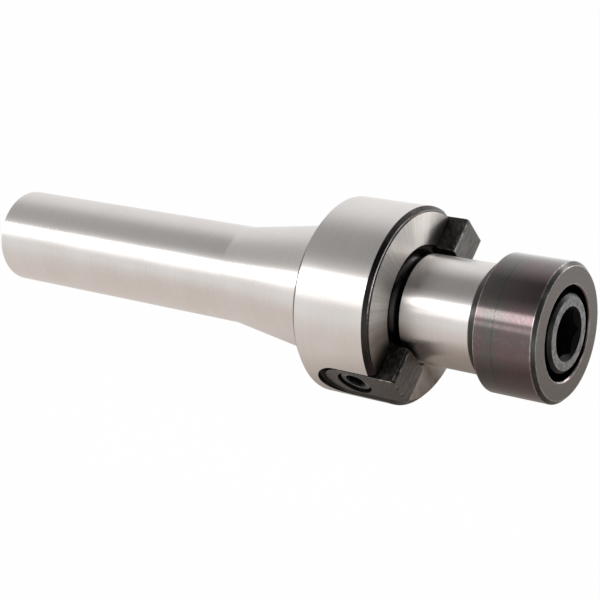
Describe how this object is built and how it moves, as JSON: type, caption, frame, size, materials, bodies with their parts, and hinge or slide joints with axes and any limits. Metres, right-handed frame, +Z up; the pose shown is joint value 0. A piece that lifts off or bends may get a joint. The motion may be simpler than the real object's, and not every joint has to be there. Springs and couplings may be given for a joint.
{
  "type": "shell mill arbor",
  "caption": "Taper-shank arbor that carries a shell mill on its pilot, drives it with two keys and clamps it with a collar and a screw.",
  "frame": {"origin": "on the arbor's axis, in the plane of the flange's front face, where the cutter seats", "axes": "+X along the arbor's axis towards the cutter end, +Z up, the first drive key between -Y and -Z"},
  "size_m": [0.1633, 0.0468, 0.0468],
  "materials": {
    "ground_steel": "fine cylindrical grinding, bright",
    "key_steel": "black oxide over ground steel",
    "key_screw_steel": "black oxide",
    "collar_oxide": "glossy black oxide with a faint violet tint over a turned surface",
    "screw_zinc": "dark matte phosphate"
  },
  "bodies": {
    "arbor": {"arbor": "ground_steel"},
    "collar": {"retaining_collar": "collar_oxide"},
    "collar_screw": {"retaining_screw": "screw_zinc"},
    "lower_key": {"drive_key_lower": "key_steel"},
    "lower_key_screw": {"key_screw_lower": "key_screw_steel"},
    "upper_key": {"drive_key_upper": "key_steel"},
    "upper_key_screw": {"key_screw_upper": "key_screw_steel"}
  },
  "joints": [
    {"name": "collar_slide", "type": "slide", "parent": "arbor", "child": "collar", "axis": [1, 0, 0], "range_m": [0, 0.0245]},
    {"name": "retaining_screw_turn", "type": "hinge", "parent": "collar", "child": "collar_screw", "pos_m": [0.0255, 0, 0], "axis": [1, 0, 0], "range_deg": [0, 5041]},
    {"name": "lower_key_lift", "type": "slide", "parent": "arbor", "child": "lower_key", "axis": [0, -0.7071, -0.7071], "range_m": [0, 0.0103]},
    {"name": "lower_key_screw_turn", "type": "hinge", "parent": "lower_key", "child": "lower_key_screw", "pos_m": [-0.00775, -0.012, -0.012], "axis": [0, -0.7071, -0.7071], "range_deg": [0, 4680]},
    {"name": "upper_key_lift", "type": "slide", "parent": "arbor", "child": "upper_key", "axis": [0, 0.7071, 0.7071], "range_m": [0, 0.0103]},
    {"name": "upper_key_screw_turn", "type": "hinge", "parent": "upper_key", "child": "upper_key_screw", "pos_m": [-0.00775, 0.012, 0.012], "axis": [0, 0.7071, 0.7071], "range_deg": [0, 4680]}
  ],
  "couplings": [
    {"joint": "retaining_screw_turn", "follows": "collar_slide", "rad_per_m": 3590.4},
    {"joint": "lower_key_screw_turn", "follows": "lower_key_lift", "rad_per_m": 7915.8},
    {"joint": "upper_key_screw_turn", "follows": "upper_key_lift", "rad_per_m": 7915.8}
  ]
}
